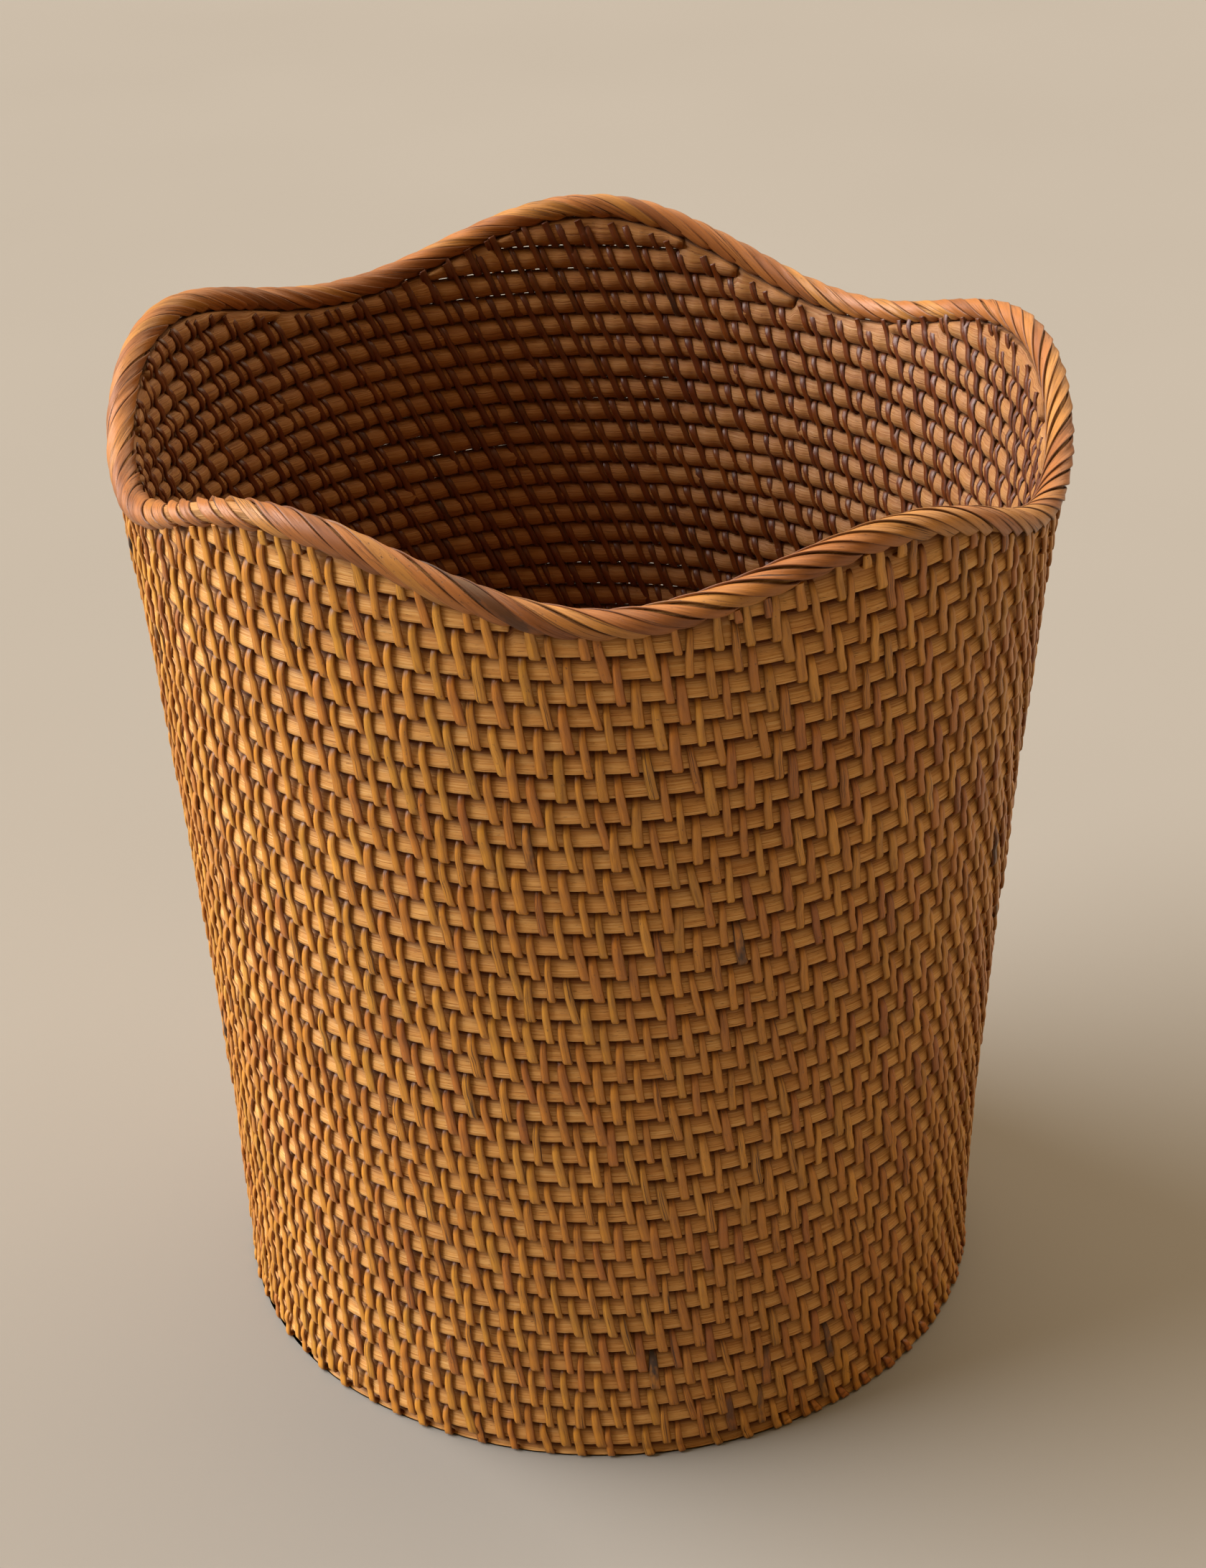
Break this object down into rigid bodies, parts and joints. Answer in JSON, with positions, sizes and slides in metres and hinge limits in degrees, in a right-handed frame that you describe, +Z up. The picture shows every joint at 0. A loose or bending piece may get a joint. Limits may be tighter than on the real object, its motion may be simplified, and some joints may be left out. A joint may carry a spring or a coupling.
{
  "type": "wastebasket",
  "caption": "Round coiled rattan wastebasket, flared towards a scalloped mouth with a diagonally wrapped border, open at the top with a flat coiled base.",
  "frame": {"origin": "middle of the base, on the surface that the basket stands on", "axes": "+Z up along the basket's axis, -Y towards the front, where the mouth has a low point of its wave"},
  "size_m": [0.2742, 0.2753, 0.3115],
  "materials": {
    "foundation_cane": "dry rattan core, matt, with long fine grain",
    "peel_stitching": "smooth rattan peel, satin, golden brown with darker streaks",
    "border_peel": "smooth wide rattan peel, satin, reddish brown"
  },
  "bodies": {
    "root": {"base_cane_1": "foundation_cane", "base_cane_2": "foundation_cane", "base_cane_3": "foundation_cane", "base_start_knot": "foundation_cane", "base_stitching_over": "peel_stitching", "base_stitching_under": "peel_stitching", "rim_core": "foundation_cane", "rim_wrapping": "border_peel", "short_course_01": "foundation_cane", "short_course_02": "foundation_cane", "short_course_03": "foundation_cane", "short_course_04": "foundation_cane", "short_course_05": "foundation_cane", "short_course_06": "foundation_cane", "short_course_07": "foundation_cane", "short_course_08": "foundation_cane", "short_course_09": "foundation_cane", "short_course_10": "foundation_cane", "short_course_11": "foundation_cane", "short_course_12": "foundation_cane", "wall_cane_1": "foundation_cane", "wall_cane_2": "foundation_cane", "wall_cane_3": "foundation_cane", "wall_cane_4": "foundation_cane", "wall_cane_5": "foundation_cane", "wall_cane_6": "foundation_cane", "wall_cane_7": "foundation_cane", "wall_cane_8": "foundation_cane", "wall_cane_9": "foundation_cane", "wall_stitching_inside": "peel_stitching", "wall_stitching_outside": "peel_stitching"}
  },
  "joints": []
}
